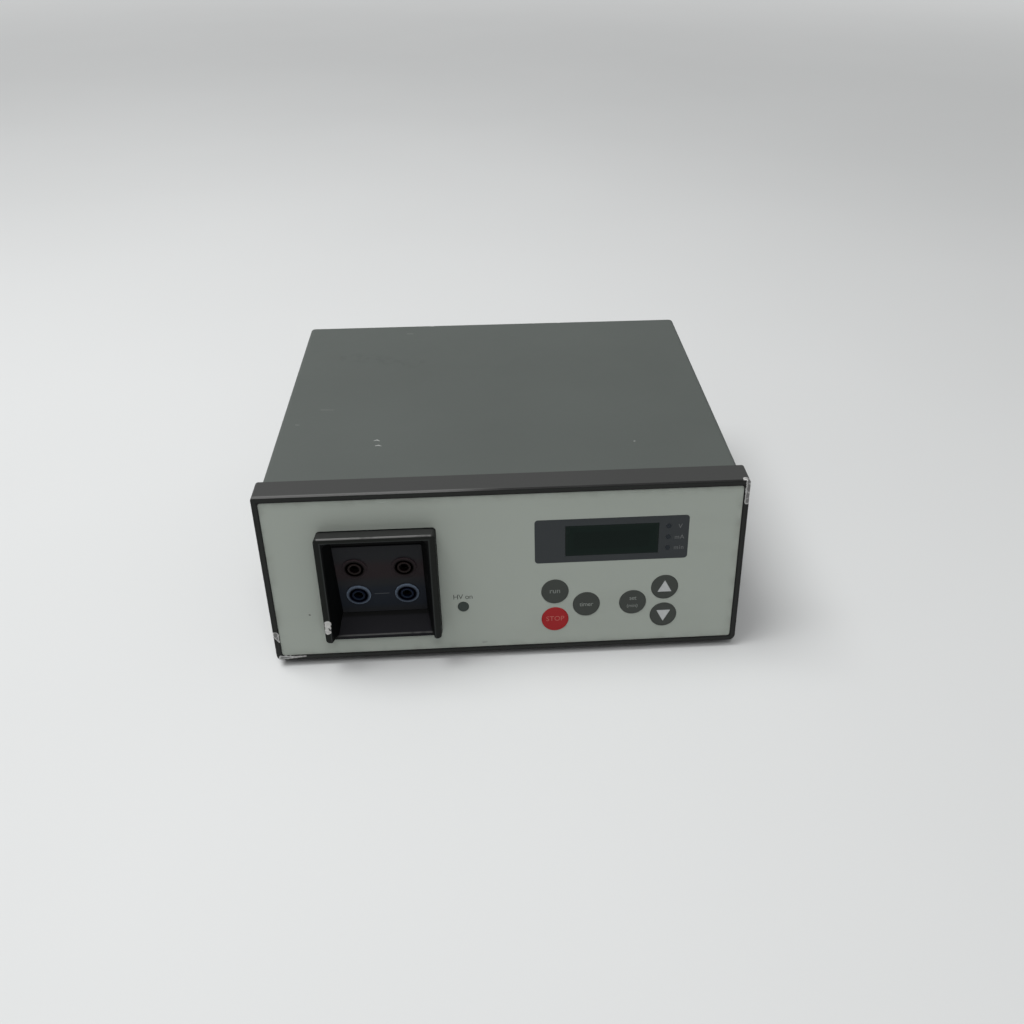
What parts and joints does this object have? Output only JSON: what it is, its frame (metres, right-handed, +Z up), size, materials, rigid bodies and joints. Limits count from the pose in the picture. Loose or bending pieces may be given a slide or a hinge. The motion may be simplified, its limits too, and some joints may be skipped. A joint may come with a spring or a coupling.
{
  "type": "electrophoresis power supply",
  "caption": "Low box-shaped bench power supply with a leaning front: recessed safety output sockets under a guard hood, a dark display window and round keys.",
  "frame": {"origin": "centre of the underside of the feet's bounding box, on the table", "axes": "+X to the right seen from the front, +Y to the rear, +Z up"},
  "size_m": [0.24, 0.2132, 0.0936],
  "materials": {
    "cover_paint": "matt textured",
    "bezel_paint": "semi-matt",
    "chassis_steel": "zinc plated",
    "panel_plate": "brushed",
    "panel_film": "satin film",
    "key_grey": "satin film",
    "key_red": "satin film",
    "window": "gloss",
    "display": "matt",
    "lamp_dark": "gloss",
    "bay_black": "fine texture",
    "plate_black": "satin",
    "socket_red": "satin",
    "socket_blue": "satin",
    "contact_brass": "nickel on brass",
    "screw_steel": "zinc plated",
    "screw_black": "blackened",
    "board_green": "solder mask",
    "ferrite": "matt",
    "winding_tape": "tape",
    "sink_aluminium": "extruded",
    "chip_black": "moulded",
    "can_sleeve": "shrink sleeve",
    "lead_red": "insulation",
    "ribbon_grey": "insulation",
    "inlet_black": "moulded",
    "pin_brass": "plated",
    "fuse_glass": "clear",
    "rocker_black": "gloss",
    "fan_black": "moulded",
    "guard_chrome": "plated wire",
    "foot_rubber": "matt"
  },
  "bodies": {
    "case": {"base_chassis": "chassis_steel", "top_cover": "cover_paint", "rear_panel": "cover_paint", "front_bezel": "bezel_paint", "front_subpanel": "panel_plate", "panel_overlay": "panel_film", "display_filter": "window", "display_module": "display", "unit_lamps": "lamp_dark", "hv_lamp": "lamp_dark", "socket_housing": "bay_black", "socket_plate": "plate_black", "contact_sleeves": "contact_brass", "socket_tips_red": "socket_red", "socket_tips_blue": "socket_blue", "socket_nuts": "contact_brass", "housing_screws": "screw_steel", "subpanel_screws": "screw_steel", "front_board": "board_green", "front_board_spacers": "contact_brass", "front_board_screws": "screw_steel", "key_switches": "chip_black", "main_board": "board_green", "main_board_spacers": "contact_brass", "main_board_screws": "screw_steel", "transformer_core": "ferrite", "transformer_winding": "winding_tape", "heat_sink": "sink_aluminium", "power_transistors": "chip_black", "bulk_capacitors": "can_sleeve", "output_leads": "lead_red", "ribbon_cable": "ribbon_grey", "mains_leads": "lead_red", "mains_inlet": "inlet_black", "inlet_pins": "pin_brass", "switch_housing": "inlet_black", "fan_frame": "fan_black", "finger_guard": "guard_chrome", "fan_screws": "screw_steel", "rubber_feet": "foot_rubber", "foot_screws": "screw_steel", "cover_screws": "screw_black", "bezel_screws": "screw_black", "rear_panel_screws": "screw_black", "socket_blue_left": "socket_blue", "socket_red_left": "socket_red", "socket_blue_right": "socket_blue", "socket_red_right": "socket_red"},
    "key_run": {"key_run": "key_grey"},
    "key_stop": {"key_stop": "key_red"},
    "key_timer": {"key_timer": "key_grey"},
    "key_set": {"key_set": "key_grey"},
    "key_up": {"key_up": "key_grey"},
    "key_down": {"key_down": "key_grey"},
    "mains_rocker": {"mains_rocker": "rocker_black"},
    "fuse_drawer": {"fuse_drawer": "inlet_black", "fuses": "fuse_glass"},
    "fan_rotor": {"fan_rotor": "fan_black"}
  },
  "joints": [
    {"name": "key_run_press", "type": "slide", "parent": "case", "child": "key_run", "axis": [0, 0.9761, -0.2175], "range_m": [0, 0.0004], "stiffness_N_per_m": 1000, "springref_m": -0.0005},
    {"name": "key_stop_press", "type": "slide", "parent": "case", "child": "key_stop", "axis": [0, 0.9761, -0.2175], "range_m": [0, 0.0004], "stiffness_N_per_m": 1000, "springref_m": -0.0005},
    {"name": "key_timer_press", "type": "slide", "parent": "case", "child": "key_timer", "axis": [0, 0.9761, -0.2175], "range_m": [0, 0.0004], "stiffness_N_per_m": 1000, "springref_m": -0.0005},
    {"name": "key_set_press", "type": "slide", "parent": "case", "child": "key_set", "axis": [0, 0.9761, -0.2175], "range_m": [0, 0.0004], "stiffness_N_per_m": 1000, "springref_m": -0.0005},
    {"name": "key_up_press", "type": "slide", "parent": "case", "child": "key_up", "axis": [0, 0.9761, -0.2175], "range_m": [0, 0.0004], "stiffness_N_per_m": 1000, "springref_m": -0.0005},
    {"name": "key_down_press", "type": "slide", "parent": "case", "child": "key_down", "axis": [0, 0.9761, -0.2175], "range_m": [0, 0.0004], "stiffness_N_per_m": 1000, "springref_m": -0.0005},
    {"name": "mains_rocker_tip", "type": "hinge", "parent": "case", "child": "mains_rocker", "pos_m": [0.044, 0.10067, 0.0535], "axis": [1, 0, 0], "range_deg": [-14, 0]},
    {"name": "fuse_drawer_slide", "type": "slide", "parent": "case", "child": "fuse_drawer", "axis": [0, 1, 0], "range_m": [0, 0.018]},
    {"name": "fan_spin", "type": "hinge", "parent": "case", "child": "fan_rotor", "pos_m": [-0.07, 0.07967, 0.0495], "axis": [0, 1, 0], "continuous": true}
  ]
}
